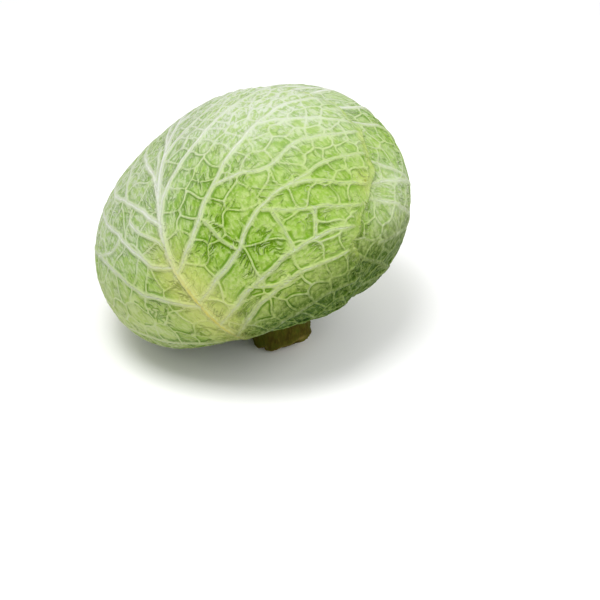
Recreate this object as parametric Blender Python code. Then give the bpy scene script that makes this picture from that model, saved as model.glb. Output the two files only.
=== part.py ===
"""Savoy cabbage: a whole trimmed head, resting on its cut stump and on one small flat spot.

Each wrapper leaf is a thin cupped shell that reaches from the stem up over the crown. The shells
lie in layers: wherever an outer leaf covers an inner one, the inner one is pushed in by one layer,
so the head stays round where a leaf is exposed. Inside them is the heart, the packed ball of
young leaves, with the stem's core standing in it.

Units are metres. +Z is up, the floor is z = 0, and +X is the end of the head that leans up.
"""

import math

import bpy
import numpy as np

# Head: a flattened ball, leaning on its side until it rests beside the stump.
HEAD_RADIUS = 0.100
HEAD_HALF_HEIGHT = 0.0745
HEAD_LEAN = math.radians(27)
HEAD_CENTRE = np.array([-0.0006, -0.0001, 0.0755])
SWELLINGS = (  # how far the ball swells or sinks, towards what, over how many degrees
    (-0.0036, (-0.75, 0.25, 0.60), 32),
    (0.0010, (-0.86, -0.24, -0.46), 34),
    (0.0050, (-0.45, 0.22, -0.87), 26),
    (0.0030, (0.98, -0.05, -0.10), 30),
    (-0.0012, (0.88, 0.22, 0.40), 26),
    (0.0016, (0.10, -0.90, 0.42), 40),
    (0.0018, (0.30, 0.92, -0.25), 38),
)
LEAST_FACING = 0.05  # keeps the distance to a plane finite where a direction runs along it
REST_BLEND = 0.0010  # how softly the resting spot rounds into the ball
BASE_HEIGHT = 0.0615  # the underside is nearly flat, this far below the head's centre
BASE_BLEND = 0.0050

# Stem: it leaves the head a little right of its lowest point, and is cut level with the floor.
STEM_FOOT = np.array([0.0192, -0.0156])
STEM_RADIUS = 0.0188
STEM_FULL_DEPTH = 0.060  # how far below the head's centre the stem reaches that radius
STEM_TAPER = 0.8
CUT_RADIUS = 0.0173
CORE_TIP_RADIUS = 0.0050
CORE_LENGTH = 0.030  # how far the core's tip stands above the head's centre
STEM_LAST_RING = 0.86  # the last round ring's share of the way down to the foot
STEM_RINGS = 9
STEM_SIDES = 24
BASE_HOLLOW = 0.0068  # the underside draws in round the stem by this
BASE_HOLLOW_ANGLE = math.radians(46)
UNDERCUT = 0.0130  # the ball draws in under its front, above the stump
UNDERCUT_TOWARD = (0.12, -0.70, -0.70)
UNDERCUT_ANGLE = math.radians(26)

# Leaves: a shell's thickness and the distance between layers, both along the ball's radius.
LEAF_THICKNESS = 0.00125
LAYER_PITCH = 0.0036
COVER_MARGIN = math.radians(5)  # an inner leaf stays pushed in this far past an outer one's edge
COVER_FADE = math.radians(15)
STEM_GAP = 0.0011
HEART_GAP = 0.0012
LEAF_CELLS = 14
HEART_SUBDIVISIONS = 4
SHARP_ANGLE = math.radians(40)
GOLDEN_ANGLE = 137.5
FIRST_LEAF_AZIMUTH = -24.0  # the outermost midrib, left of the front
LOW_REACH = 1.02  # how far a leaf's base lobes reach, as a share of its sides
OUTLINE_WAVES = ((3, 0.034, 1), (5, 0.010, 2))  # waves a turn, height, share of the phase
NOTCH_CLEARANCE = 1.12
NOTCH_WIDTH = 0.022

# Each leaf, outermost first: its middle's angle above the stem, then how far it reaches from
# there to the sides and over the crown, in degrees, and the phase of its outline's waves.
LEAVES = (
    ("outer_leaf_1", 100, 82, 106, -1.8),
    ("outer_leaf_2", 92, 82, 76, 1.9),
    ("outer_leaf_3", 90, 80, 74, 3.1),
    ("wrapper_leaf_4", 94, 78, 74, 4.4),
    ("wrapper_leaf_5", 94, 76, 72, 0.9),
    ("wrapper_leaf_6", 94, 76, 76, 2.6),
    ("wrapper_leaf_7", 94, 74, 74, 5.2),
    ("inner_leaf_8", 94, 74, 74, 1.4),
    ("inner_leaf_9", 94, 74, 74, 3.7),
    ("inner_leaf_10", 94, 74, 74, 0.1),
)

LEAF_GREENS = ((0.42, 0.60, 0.20), (0.50, 0.64, 0.28), (0.62, 0.70, 0.36))
HEART_YELLOW = (0.78, 0.76, 0.38)
STEM_TAN = (0.60, 0.56, 0.34)


def unit(vectors):
    return vectors / np.linalg.norm(vectors, axis=-1, keepdims=True)


STEM_DOWN = unit(np.array([*STEM_FOOT, 0.0]) - HEAD_CENTRE)
CROWN = -STEM_DOWN
HEAD_AXIS = np.array([-math.sin(HEAD_LEAN), 0.0, math.cos(HEAD_LEAN)])
FRONT = unit(np.array([0.0, -1.0, 0.0]) + CROWN[1] * CROWN)
RIGHT = np.cross(CROWN, FRONT)


def head_radius(directions):
    """Distance from the head's centre to its outside, along each direction."""
    along = directions @ HEAD_AXIS
    radius = 1 / np.sqrt(
        (1 - along**2) / HEAD_RADIUS**2 + along**2 / HEAD_HALF_HEIGHT**2
    )
    for height, toward, spread in SWELLINGS:
        away = np.degrees(np.arccos(np.clip(directions @ unit(np.array(toward)), -1, 1)))
        radius = radius + height * np.exp(-((away / spread) ** 2))
    below = directions @ STEM_DOWN
    base = BASE_HEIGHT / np.maximum(below, LEAST_FACING)
    radius = radius - BASE_BLEND * np.logaddexp(0, (radius - base) / BASE_BLEND)
    from_stem = np.arccos(np.clip(below, -1, 1))
    radius = radius - BASE_HOLLOW * np.exp(-((from_stem / BASE_HOLLOW_ANGLE) ** 2))
    from_undercut = np.arccos(np.clip(directions @ unit(np.array(UNDERCUT_TOWARD)), -1, 1))
    radius = radius - UNDERCUT * np.exp(-((from_undercut / UNDERCUT_ANGLE) ** 2))
    floor = HEAD_CENTRE[2] / np.maximum(-directions[..., 2], LEAST_FACING)
    return radius - REST_BLEND * np.logaddexp(0, (radius - floor) / REST_BLEND)


def leaf_frame(index):
    """The directions of a leaf's middle, its right side and its way up."""
    azimuth = math.radians(FIRST_LEAF_AZIMUTH + GOLDEN_ANGLE * index)
    outward = math.cos(azimuth) * FRONT + math.sin(azimuth) * RIGHT
    across = -math.sin(azimuth) * FRONT + math.cos(azimuth) * RIGHT
    rise = math.radians(LEAVES[index][1])
    middle = math.cos(rise) * STEM_DOWN + math.sin(rise) * outward
    upward = -math.sin(rise) * STEM_DOWN + math.cos(rise) * outward
    return middle, across, upward


def stem_radius(from_centre):
    """The stem's radius at a distance from the head's centre, down along the stem."""
    share = (from_centre + CORE_LENGTH) / (STEM_FULL_DEPTH + CORE_LENGTH)
    full = STEM_RADIUS - CORE_TIP_RADIUS
    return CORE_TIP_RADIUS + full * np.clip(share, 0, 1) ** STEM_TAPER


def outline(index, turn):
    """How far a leaf reaches from its middle, as an angle, at each turn from its tip."""
    _, rise, side, top, phase = LEAVES[index]
    side, top = math.radians(side), math.radians(top)
    low = side * LOW_REACH
    cosine = np.cos(turn)
    reach = side + (top - side) * np.maximum(cosine, 0) ** 2
    reach = reach + (low - side) * np.maximum(-cosine, 0) ** 2
    for waves, height, share in OUTLINE_WAVES:
        reach = reach * (1 + height * np.sin(waves * turn + share * phase))
    # The base is notched round the stem, which each leaf clasps.
    at_stem = head_radius(STEM_DOWN) - LAYER_PITCH * (index + 1)
    stem_angle = (stem_radius(at_stem) + STEM_GAP) / at_stem
    base = math.radians(rise) - stem_angle * NOTCH_CLEARANCE
    return reach + (base - reach) * np.exp(-(cosine + 1) / NOTCH_WIDTH)


def cover(index, directions):
    """1 where a leaf lies over these directions, falling to 0 a little past its edge."""
    middle, across, upward = leaf_frame(index)
    distance = np.arccos(np.clip(directions @ middle, -1, 1))
    turn = np.arctan2(directions @ across, directions @ upward)
    past = (distance - outline(index, turn) - COVER_MARGIN) / COVER_FADE
    share = np.clip(past, 0, 1)
    return 1 - share * share * (3 - 2 * share)


def depth(index, directions):
    """How far a leaf is pushed in by the leaves outside it."""
    return LAYER_PITCH * sum(cover(outer, directions) for outer in range(index))


def leaf_directions(index, across_share, up_share):
    """Directions of the leaf's points, from places on a unit disc."""
    middle, across, upward = leaf_frame(index)
    share = np.hypot(across_share, up_share)
    turn = np.arctan2(across_share, up_share)
    angle = share * outline(index, turn)
    sideways = np.sin(turn)[..., None] * across + np.cos(turn)[..., None] * upward
    return np.cos(angle)[..., None] * middle + np.sin(angle)[..., None] * sideways


def disc_grid(cells):
    """A square grid of points, drawn out to a round disc."""
    line = np.linspace(-1, 1, cells + 1)
    u, v = np.meshgrid(line, line, indexing="ij")
    return u * np.sqrt(1 - v * v / 2), v * np.sqrt(1 - u * u / 2)


def grid_triangles(cells):
    """Two triangles a cell, split so that no corner cell is a sliver."""
    faces = []
    for i in range(cells):
        for j in range(cells):
            a = i * (cells + 1) + j
            b, c, d = a + cells + 1, a + cells + 2, a + 1
            if (i < cells / 2) == (j < cells / 2):
                faces += [(a, b, c), (a, c, d)]
            else:
                faces += [(a, b, d), (b, c, d)]
    return faces


def rim_loop(cells):
    """The grid's edge points in order, anticlockwise seen from outside the head."""
    side = cells + 1
    bottom = [i * side for i in range(cells)]
    right = [cells * side + j for j in range(cells)]
    top = [i * side + cells for i in range(cells, 0, -1)]
    left = list(range(cells, 0, -1))
    return bottom + right + top + left


def material(name, colour, roughness):
    made = bpy.data.materials.new(name)
    made.use_nodes = True
    shader = made.node_tree.nodes["Principled BSDF"]
    shader.inputs["Base Color"].default_value = (*colour, 1.0)
    shader.inputs["Roughness"].default_value = roughness
    made.diffuse_color = (*colour, 1.0)
    return made


def add_object(name, points, faces, finish):
    mesh = bpy.data.meshes.new(name)
    mesh.from_pydata([tuple(map(float, p)) for p in points], [], faces)
    mesh.validate()
    mesh.shade_smooth()
    mesh.set_sharp_from_angle(angle=SHARP_ANGLE)
    mesh.materials.append(finish)
    made = bpy.data.objects.new(name, mesh)
    bpy.context.scene.collection.objects.link(made)
    return made


def build_leaf(index, finish):
    """One cupped leaf: an outer skin, an inner skin and the thin rim between them."""
    x, y = disc_grid(LEAF_CELLS)
    directions = leaf_directions(index, x.ravel(), y.ravel())
    outer = head_radius(directions) - depth(index, directions)
    points = [
        HEAD_CENTRE + directions * radius[:, None]
        for radius in (outer, outer - LEAF_THICKNESS)
    ]
    skin = grid_triangles(LEAF_CELLS)
    count = len(directions)
    faces = skin + [(c + count, b + count, a + count) for a, b, c in skin]
    rim = rim_loop(LEAF_CELLS)
    for here, after in zip(rim, rim[1:] + rim[:1]):
        faces.append((here, here + count, after + count))
        faces.append((here, after + count, after))
    return add_object(LEAVES[index][0], np.concatenate(points), faces, finish)


def build_heart(finish):
    """The packed ball of young leaves inside the wrapper leaves, before its core is cut out."""
    bpy.ops.mesh.primitive_ico_sphere_add(subdivisions=HEART_SUBDIVISIONS, radius=1.0)
    heart = bpy.context.object
    heart.name = "heart"
    mesh = heart.data
    ball = np.empty(len(mesh.vertices) * 3)
    mesh.vertices.foreach_get("co", ball)
    directions = unit(ball.reshape(-1, 3))
    radius = head_radius(directions) - depth(len(LEAVES), directions)
    points = HEAD_CENTRE + directions * (radius - HEART_GAP)[:, None]
    mesh.vertices.foreach_set("co", points.ravel())
    mesh.shade_smooth()
    mesh.materials.append(finish)
    return heart


def stem_rings(grow):
    """Heights along the stem, measured down from the head's centre, and radii there."""
    foot = np.linalg.norm(np.array([*STEM_FOOT, 0.0]) - HEAD_CENTRE)
    stations = np.linspace(-CORE_LENGTH - grow, foot * STEM_LAST_RING, STEM_RINGS)
    rings = [(s, float(stem_radius(s)) + grow) for s in stations]
    return rings, foot


def build_stem(name, finish, grow=0.0):
    """The cut stump and its tapering core, as one turned column whose foot is cut level."""
    rings, foot = stem_rings(grow)
    points = []
    turns = np.linspace(0, 2 * math.pi, STEM_SIDES, endpoint=False)
    circle = np.cos(turns)[:, None] * FRONT + np.sin(turns)[:, None] * RIGHT
    for station, radius in rings:
        points.append(HEAD_CENTRE + STEM_DOWN * station + circle * radius)
    foot_ring = HEAD_CENTRE + STEM_DOWN * foot + circle * (CUT_RADIUS + grow)
    drop = foot_ring[:, 2:] / -STEM_DOWN[2]
    points.append(foot_ring + STEM_DOWN * drop)
    faces = []
    for row in range(len(points) - 1):
        for k in range(STEM_SIDES):
            a, b = row * STEM_SIDES + k, row * STEM_SIDES + (k + 1) % STEM_SIDES
            faces.append((a, a + STEM_SIDES, b + STEM_SIDES, b))
    last = len(points) * STEM_SIDES
    faces.append(tuple(range(STEM_SIDES)))
    faces.append(tuple(range(last - 1, last - STEM_SIDES - 1, -1)))
    return add_object(name, np.concatenate(points), faces, finish)


def main():
    for old in list(bpy.data.objects):
        bpy.data.objects.remove(old)
    greens = [
        material(name, colour, 0.5)
        for name, colour in zip(("leaf_outer", "leaf_wrapper", "leaf_inner"), LEAF_GREENS)
    ]
    for index, row in enumerate(LEAVES):
        kind = ("outer", "wrapper", "inner").index(row[0].split("_")[0])
        build_leaf(index, greens[kind])
    tan = material("stem", STEM_TAN, 0.65)
    build_stem("stem", tan)
    heart = build_heart(material("heart", HEART_YELLOW, 0.45))
    core = build_stem("core_cutter", tan, grow=STEM_GAP)
    core.hide_render = True
    core.display_type = "WIRE"
    cut = heart.modifiers.new("core hole", "BOOLEAN")
    cut.object = core
    cut.operation = "DIFFERENCE"


main()
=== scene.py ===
# %% [markdown]
# # A savoy cabbage, built leaf by leaf
# A savoy head is a stack of cupped leaves on one short, thick stem. The CAD frame holds each leaf
# as a smooth shell in its true place. This lesson gives every shell what a real savoy leaf has: a
# midrib, side veins that fork, a fine net of veins, and a blade that sinks in between them. The
# shape of the head is worked out again here from the same driving sizes, because each leaf needs
# far more points than its CAD shell has, and the result is compared with the frame.

import math
from types import SimpleNamespace

import bpy
import numpy as np
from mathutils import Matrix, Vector
from mathutils.geometry import delaunay_2d_cdt


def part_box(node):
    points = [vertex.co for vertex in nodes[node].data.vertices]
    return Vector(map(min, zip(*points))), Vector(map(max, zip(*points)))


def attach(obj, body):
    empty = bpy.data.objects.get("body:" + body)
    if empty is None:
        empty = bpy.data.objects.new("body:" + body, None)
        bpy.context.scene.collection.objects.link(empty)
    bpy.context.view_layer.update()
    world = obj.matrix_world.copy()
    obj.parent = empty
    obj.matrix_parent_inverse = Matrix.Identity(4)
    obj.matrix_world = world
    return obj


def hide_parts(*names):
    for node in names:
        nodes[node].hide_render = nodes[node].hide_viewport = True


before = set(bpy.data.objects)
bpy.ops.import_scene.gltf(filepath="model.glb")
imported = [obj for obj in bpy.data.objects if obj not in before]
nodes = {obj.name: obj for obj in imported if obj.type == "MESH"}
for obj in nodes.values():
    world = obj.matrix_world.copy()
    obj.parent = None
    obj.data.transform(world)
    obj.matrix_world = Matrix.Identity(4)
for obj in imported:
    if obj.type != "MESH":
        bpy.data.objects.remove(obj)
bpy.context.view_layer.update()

# %% [markdown]
# ## The ball
# The head is a flattened ball that leans on its side until one cheek rests beside the stump. A few
# swellings and one dent keep it from looking turned on a lathe. Everything is described by
# direction from the head's centre, because leaves that lie on each other then differ only in their
# distance from it.

# %% The head's outside
HEAD_RADIUS = 0.100
HEAD_HALF_HEIGHT = 0.0745
HEAD_LEAN = math.radians(27)
HEAD_CENTRE = np.array([-0.0006, -0.0001, 0.0755])
STEM_FOOT = np.array([0.0192, -0.0156, 0.0])
SWELLINGS = (  # how far out, towards what, over how many degrees
    (-0.0036, (-0.75, 0.25, 0.60), 32),
    (0.0010, (-0.86, -0.24, -0.46), 34),
    (0.0050, (-0.45, 0.22, -0.87), 26),
    (0.0030, (0.98, -0.05, -0.10), 30),
    (-0.0012, (0.88, 0.22, 0.40), 26),
    (0.0016, (0.10, -0.90, 0.42), 40),
    (0.0018, (0.30, 0.92, -0.25), 38),
)
BASE_HEIGHT = 0.0615  # from the centre to the flattened underside
BASE_BLEND = 0.0050
BASE_HOLLOW = 0.0068  # how deep the underside sinks in round the stem
BASE_HOLLOW_ANGLE = math.radians(46)
UNDERCUT = 0.0130  # one more hollow, low at the front
UNDERCUT_TOWARD = (0.12, -0.70, -0.70)
UNDERCUT_ANGLE = math.radians(26)
REST_BLEND = 0.0010  # how softly the ball flattens where it rests on the floor
LEAST_FACING = 0.05  # keeps the two flat sides away from directions that never meet them


def unit(vectors):
    vectors = np.asarray(vectors, float)
    return vectors / np.linalg.norm(vectors, axis=-1, keepdims=True)


def angle_from(directions, toward):
    return np.arccos(np.clip(directions @ toward, -1, 1))


def bell(away, spread):
    """1 in the middle, fading out on every side."""
    return np.exp(-((away / spread) ** 2))


def soft_limit(radius, limit, blend):
    """Holds a radius under a limit, with a rounded bend where it gets there."""
    return radius - blend * np.logaddexp(0, (radius - limit) / blend)


STEM_DOWN = unit(STEM_FOOT - HEAD_CENTRE)
CROWN = -STEM_DOWN
HEAD_AXIS = np.array([-math.sin(HEAD_LEAN), 0.0, math.cos(HEAD_LEAN)])
FRONT = unit(np.array([0.0, -1.0, 0.0]) + CROWN[1] * CROWN)
RIGHT = np.cross(CROWN, FRONT)


def head_radius(directions):
    """Distance from the head's centre to its outside, along each direction."""
    along = directions @ HEAD_AXIS
    radius = 1 / np.sqrt((1 - along**2) / HEAD_RADIUS**2 + along**2 / HEAD_HALF_HEIGHT**2)
    for height, toward, spread in SWELLINGS:
        away = np.degrees(angle_from(directions, unit(toward)))
        radius = radius + height * bell(away, spread)
    base = BASE_HEIGHT / np.maximum(directions @ STEM_DOWN, LEAST_FACING)
    radius = soft_limit(radius, base, BASE_BLEND)
    radius = radius - BASE_HOLLOW * bell(angle_from(directions, STEM_DOWN), BASE_HOLLOW_ANGLE)
    away = angle_from(directions, unit(UNDERCUT_TOWARD))
    radius = radius - UNDERCUT * bell(away, UNDERCUT_ANGLE)
    floor = HEAD_CENTRE[2] / np.maximum(-directions[..., 2], LEAST_FACING)
    return soft_limit(radius, floor, REST_BLEND)


print("crown is", round(1000 * float(head_radius(CROWN))), "mm from the centre")

# %% [markdown]
# ## Where the leaves lie
# Leaves grow from the stem one after another, each turned 137.5 degrees from the last, the golden
# angle. Each one is described on a plane of its own, like a map centred on the leaf's middle: how
# many degrees to the right, and how many degrees up towards the tip. Where an outer leaf covers an
# inner one, the inner one lies a layer deeper, so no two leaves meet.

# %% The leaves and their layers
LAYER_PITCH = 0.0036  # from one leaf to the next
COVER_MARGIN = math.radians(5)  # a leaf stays a layer down this far past an outer leaf's edge,
COVER_FADE = math.radians(15)  # and then rises over this angle
GOLDEN_ANGLE = 137.5
FIRST_LEAF_AZIMUTH = -24.0  # how far the outermost leaf is turned from the front
LOW_REACH = 1.02  # reach towards the stem, as a share of the reach to the sides
OUTLINE_WAVES = ((3, 0.034, 1), (5, 0.010, 2))  # how many, how high, how many times the phase
STEM_RADIUS = 0.0188
STEM_FULL_DEPTH = 0.060  # from the head's centre to where the stem has its full radius
STEM_TAPER = 0.8
CORE_TIP_RADIUS = 0.0050
CORE_LENGTH = 0.030  # how far the core reaches past the head's centre
NOTCH_CLEARANCE = 0.92  # the finished leaf grows into the stem, so nothing shows between them
NOTCH_WIDTH = 0.022
FACE_DIP = 13.0  # the outermost leaf's right margin draws back, so the next leaf shows there
FACE_DIP_TURN = math.radians(97)
FACE_DIP_WIDTH = math.radians(17)
CHECK_TURNS = 240
CHECK_RINGS = 40
LEAVES = (  # node, angle above the stem, reach to the sides, reach over the crown, wave phase
    ("outer_leaf_1", 100, 82, 106, -1.8),
    ("outer_leaf_2", 92, 82, 76, 1.9),
    ("outer_leaf_3", 90, 80, 74, 3.1),
    ("wrapper_leaf_4", 94, 78, 74, 4.4),
    ("wrapper_leaf_5", 94, 76, 72, 0.9),
    ("wrapper_leaf_6", 94, 76, 76, 2.6),
    ("wrapper_leaf_7", 94, 74, 74, 5.2),
    ("inner_leaf_8", 94, 74, 74, 1.4),
    ("inner_leaf_9", 94, 74, 74, 3.7),
    ("inner_leaf_10", 94, 74, 74, 0.1),
)


def leaf_frame(index):
    """The directions of a leaf's middle, its right side and its way up."""
    azimuth = math.radians(FIRST_LEAF_AZIMUTH + GOLDEN_ANGLE * index)
    outward = math.cos(azimuth) * FRONT + math.sin(azimuth) * RIGHT
    across = -math.sin(azimuth) * FRONT + math.cos(azimuth) * RIGHT
    rise = math.radians(LEAVES[index][1])
    middle = math.cos(rise) * STEM_DOWN + math.sin(rise) * outward
    upward = -math.sin(rise) * STEM_DOWN + math.cos(rise) * outward
    return middle, across, upward


def stem_radius(from_centre):
    share = np.clip((from_centre + CORE_LENGTH) / (STEM_FULL_DEPTH + CORE_LENGTH), 0, 1)
    return CORE_TIP_RADIUS + (STEM_RADIUS - CORE_TIP_RADIUS) * share**STEM_TAPER


def outline(index, turn):
    """How far a leaf reaches from its middle, as an angle, at each turn from its tip."""
    _, rise, side, top, phase = LEAVES[index]
    side, top = math.radians(side), math.radians(top)
    cosine = np.cos(turn)
    reach = side + (top - side) * np.maximum(cosine, 0) ** 2
    reach = reach + side * (LOW_REACH - 1) * np.maximum(-cosine, 0) ** 2
    for waves, height, share in OUTLINE_WAVES:
        reach = reach * (1 + height * np.sin(waves * turn + share * phase))
    if index == 0:
        away = np.mod(turn, 2 * math.pi) - FACE_DIP_TURN
        reach = reach - math.radians(FACE_DIP) * bell(away, FACE_DIP_WIDTH)
    at_stem = float(head_radius(STEM_DOWN)) - LAYER_PITCH * (index + 1)
    base = math.radians(rise) - NOTCH_CLEARANCE * stem_radius(at_stem) / at_stem
    return reach + (base - reach) * np.exp(-(cosine + 1) / NOTCH_WIDTH)


def smoothstep(values, start, end):
    share = np.clip((values - start) / (end - start), 0, 1)
    return share * share * (3 - 2 * share)


def past_edge(index, directions):
    """How far directions lie outside a leaf's outline, as an angle; negative is under the leaf."""
    middle, across, upward = leaf_frame(index)
    reach = outline(index, np.arctan2(directions @ across, directions @ upward))
    return angle_from(directions, middle) - reach


def layer_depth(index, directions):
    """How far a leaf is pushed in by the leaves outside it."""
    depth = np.zeros(directions.shape[:-1])
    for outer in range(index):
        past = past_edge(outer, directions) - COVER_MARGIN
        depth = depth + LAYER_PITCH * (1 - smoothstep(past, 0, COVER_FADE))
    return depth


def plane_directions(index, x, y):
    """Directions of places on a leaf's own plane, which is in degrees."""
    middle, across, upward = leaf_frame(index)
    angle = np.radians(np.hypot(x, y))[..., None]
    turn = np.arctan2(x, y)[..., None]
    sideways = np.sin(turn) * across + np.cos(turn) * upward
    return np.cos(angle) * middle + np.sin(angle) * sideways


def leaf_surface(index, x, y):
    """Points of a leaf's smooth outside, in metres."""
    directions = plane_directions(index, x, y)
    radius = head_radius(directions) - layer_depth(index, directions)
    return HEAD_CENTRE + directions * radius[..., None]


def compare_with_frame(index):
    """Prints how far a smooth leaf's box is from that of its CAD shell."""
    turn = np.linspace(0, 2 * math.pi, CHECK_TURNS)
    share = np.linspace(0, 1, CHECK_RINGS)[:, None]
    reach = np.degrees(outline(index, turn))
    points = leaf_surface(index, share * reach * np.sin(turn), share * reach * np.cos(turn))
    low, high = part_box(LEAVES[index][0])
    off = np.abs(np.array([points.min((0, 1)) - low, points.max((0, 1)) - high]))
    print(LEAVES[index][0], "differs from the frame by up to", round(1000 * off.max(), 1), "mm")


for index in range(len(LEAVES)):
    compare_with_frame(index)

# %% [markdown]
# ## The main veins
# A savoy leaf's midrib is thick and pale at the base and fades out before the tip. Side veins
# leave it at a sharp angle, run out in long arcs and fork. The outermost leaf's veins are drawn
# one by one, because they make the head's face. The other leaves follow a rule. Each vein is a
# smooth curve through a few places on the leaf's plane.

# %% Curves through a few places
VEIN_SAMPLES = 60
MIDRIB_SAMPLES = 160
CURVE_STEPS = 24  # fine steps from one place to the next


def smooth_curve(places, samples):
    """A curve through all of the places, with points equally far apart."""
    places = np.array(places, float)
    padded = np.vstack([2 * places[0] - places[1], places, 2 * places[-1] - places[-2]])
    fine = []
    for a, b, c, d in zip(padded, padded[1:], padded[2:], padded[3:]):
        t = np.linspace(0, 1, CURVE_STEPS, endpoint=False)[:, None]
        bend = 2 * a - 5 * b + 4 * c - d
        twist = 3 * b - a - 3 * c + d
        fine.append(0.5 * (2 * b + (c - a) * t + bend * t**2 + twist * t**3))
    fine = np.vstack([*fine, places[-1:]])
    length = np.concatenate([[0], np.cumsum(np.linalg.norm(np.diff(fine, axis=0), axis=1))])
    even = np.linspace(0, length[-1], samples)
    return np.stack([np.interp(even, length, fine[:, axis]) for axis in (0, 1)], axis=1)


bent = smooth_curve(((0, 0), (30, 10), (60, 40)), VEIN_SAMPLES)
print("a curve through 3 places:", len(bent), "points")

# %% The outermost leaf's veins
FACE_MIDRIB = (  # places on the leaf's plane, in degrees to the right and up
    (2, -90), (12, -62), (15, -40), (9, -19), (1, -2), (-5, 17), (-15, 47), (-29, 72), (-41, 92),
)
FACE_RIGHT = (  # side veins from the base to the tip; each starts on the midrib
    ((5, -82), (24, -80), (48, -72)),
    ((12, -62), (34, -62), (66, -54)),
    ((15, -47), (38, -33), (54, -28), (76, -30)),
    ((15, -37), (25, -26), (41, -16), (61, -13), (80, -14)),
    ((13, -28), (28, -16), (43, -7), (57, -3), (82, -6)),
    ((8, -19), (18, -11), (26, -3), (35, 10), (48, 18), (65, 26), (88, 27)),
    ((3, -9), (9, -1), (17, 17), (24, 33), (34, 50), (46, 64), (66, 70), (90, 74)),
    ((-3, 12), (-2, 24), (5, 44), (16, 70), (30, 92)),
    ((-12, 38), (-10, 52), (-2, 76), (4, 100)),
    ((-26, 68), (-22, 84), (-20, 106)),
)
FACE_LEFT = (
    ((0, -84), (-22, -80), (-46, -72)),
    ((12, -64), (-12, -62), (-52, -60)),
    ((15, -42), (-8, -38), (-38, -30), (-76, -32)),
    ((9, -20), (-2, -17), (-11, -15), (-21, -10), (-41, -2), (-82, 2)),
    ((2, -6), (-6, -5), (-15, 0), (-26, 6), (-45, 13), (-84, 26)),
    ((-3, 9), (-11, 13), (-22, 18), (-49, 26), (-82, 46)),
    ((-8, 24), (-16, 32), (-34, 44), (-70, 68)),
    ((-15, 46), (-26, 58), (-48, 78), (-58, 90)),
    ((-27, 68), (-38, 80), (-52, 96)),
)
FACE_FORKS = (  # forks and joining veins, each with its width as a share of a side vein's
    (((19, 21), (29, 24), (38, 25), (44, 29), (50, 36), (62, 38), (86, 42)), 0.75),
    (((34, 50), (44, 51), (59, 50), (72, 48), (90, 46)), 0.7),
    (((46, 17), (57, 17), (66, 14), (84, 12)), 0.65),
    (((36, 9), (49, 7), (59, 6), (72, 4)), 0.4),
    (((51, -4), (52, 2), (52.6, 6.4)), 0.4),
    (((39, 7.5), (42, 0), (43, -7)), 0.35),
    (((-5, 17), (-9, 24), (-12, 32), (-20, 46)), 0.8),
    (((0, 0), (-5, 4), (-12, 6), (-19, 10), (-20, 15)), 0.5),
    (((-27, 20), (-35, 30), (-43, 40), (-58, 56)), 0.55),
    (((-24, 6), (-30, 0), (-44, -2)), 0.4),
    (((26, -3), (20, 2), (16, 8)), 0.35),
    (((28, -16), (34, -17), (40, -16)), 0.35),
)


def face_veins():
    midrib = smooth_curve(FACE_MIDRIB, MIDRIB_SAMPLES)
    sides = [[smooth_curve(v, VEIN_SAMPLES) for v in side] for side in (FACE_RIGHT, FACE_LEFT)]
    forks = [(smooth_curve(places, VEIN_SAMPLES), width) for places, width in FACE_FORKS]
    return midrib, sides, forks


print("outermost leaf:", len(FACE_RIGHT + FACE_LEFT), "side veins,", len(FACE_FORKS), "forks")

# %% The other leaves' veins
SIDE_VEINS = 9
LOWEST_VEIN = 0.05  # where the first side vein leaves the midrib, as a share of its length
VEIN_SPAN = 0.86
VEIN_SPACING = 1.15  # above 1, the side veins are closer together near the base
VEIN_STRIDES = 6
VEIN_REACH = 1.25  # length of a side vein, as a share of the leaf's reach to the side
FORK_STRIDE = 11.0
FORK_WIDTH = 0.6


def heading(angle):
    """A step on the leaf's plane, by its angle from straight up."""
    return np.array([math.sin(angle), math.cos(angle)])


def side_vein(random, start, share, side, sign):
    """A vein from a place on the midrib that bends up towards the tip."""
    lean = 82 - 50 * share + random.uniform(-5, 5)
    places = [start]
    stride = side * VEIN_REACH / VEIN_STRIDES
    for _ in range(VEIN_STRIDES):
        places.append(places[-1] + stride * heading(sign * math.radians(lean)))
        lean = lean + (6 if share < 0.15 else -3) + random.uniform(-7, 7)
    return smooth_curve(places, VEIN_SAMPLES)


def branch(random, vein):
    """A branch that leaves a vein before its middle, to one side or the other."""
    at = random.integers(VEIN_SAMPLES // 4, VEIN_SAMPLES // 2)
    way = vein[at + 2] - vein[at]
    angle = math.atan2(*way) + random.choice([-1, 1]) * random.uniform(0.35, 0.6)
    along = np.arange(0, 4)[:, None] * FORK_STRIDE
    return smooth_curve(vein[at] + along * heading(angle), VEIN_SAMPLES // 2)


def ruled_veins(index):
    """A midrib with side veins that leave it alternately and bend up towards the tip."""
    random = np.random.default_rng(index)
    _, rise, side, top, _ = LEAVES[index]
    bend = random.uniform(-7, 7)
    heights = np.linspace(-(rise - 10), top, 6)
    middle = [(bend * math.sin(3 * h / rise), h) for h in heights]
    midrib = smooth_curve(middle, MIDRIB_SAMPLES)
    sides, forks = [], []
    for sign in (1, -1):
        veins = []
        for k in range(SIDE_VEINS):
            step = k + random.uniform(0, 0.4) + 0.25 * (sign < 0)
            share = LOWEST_VEIN + VEIN_SPAN * (step / SIDE_VEINS) ** VEIN_SPACING
            start = midrib[int(np.clip(share, 0.02, 0.95) * (MIDRIB_SAMPLES - 1))]
            veins.append(side_vein(random, start, share, side, sign))
            forks.append((branch(random, veins[-1]), FORK_WIDTH))
        sides.append(veins)
    return midrib, sides, forks


VEINS = [face_veins()] + [ruled_veins(index) for index in range(1, len(LEAVES))]
print("veins per leaf:", [1 + len(r) + len(l) + len(f) for _, (r, l), f in VEINS])

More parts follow.
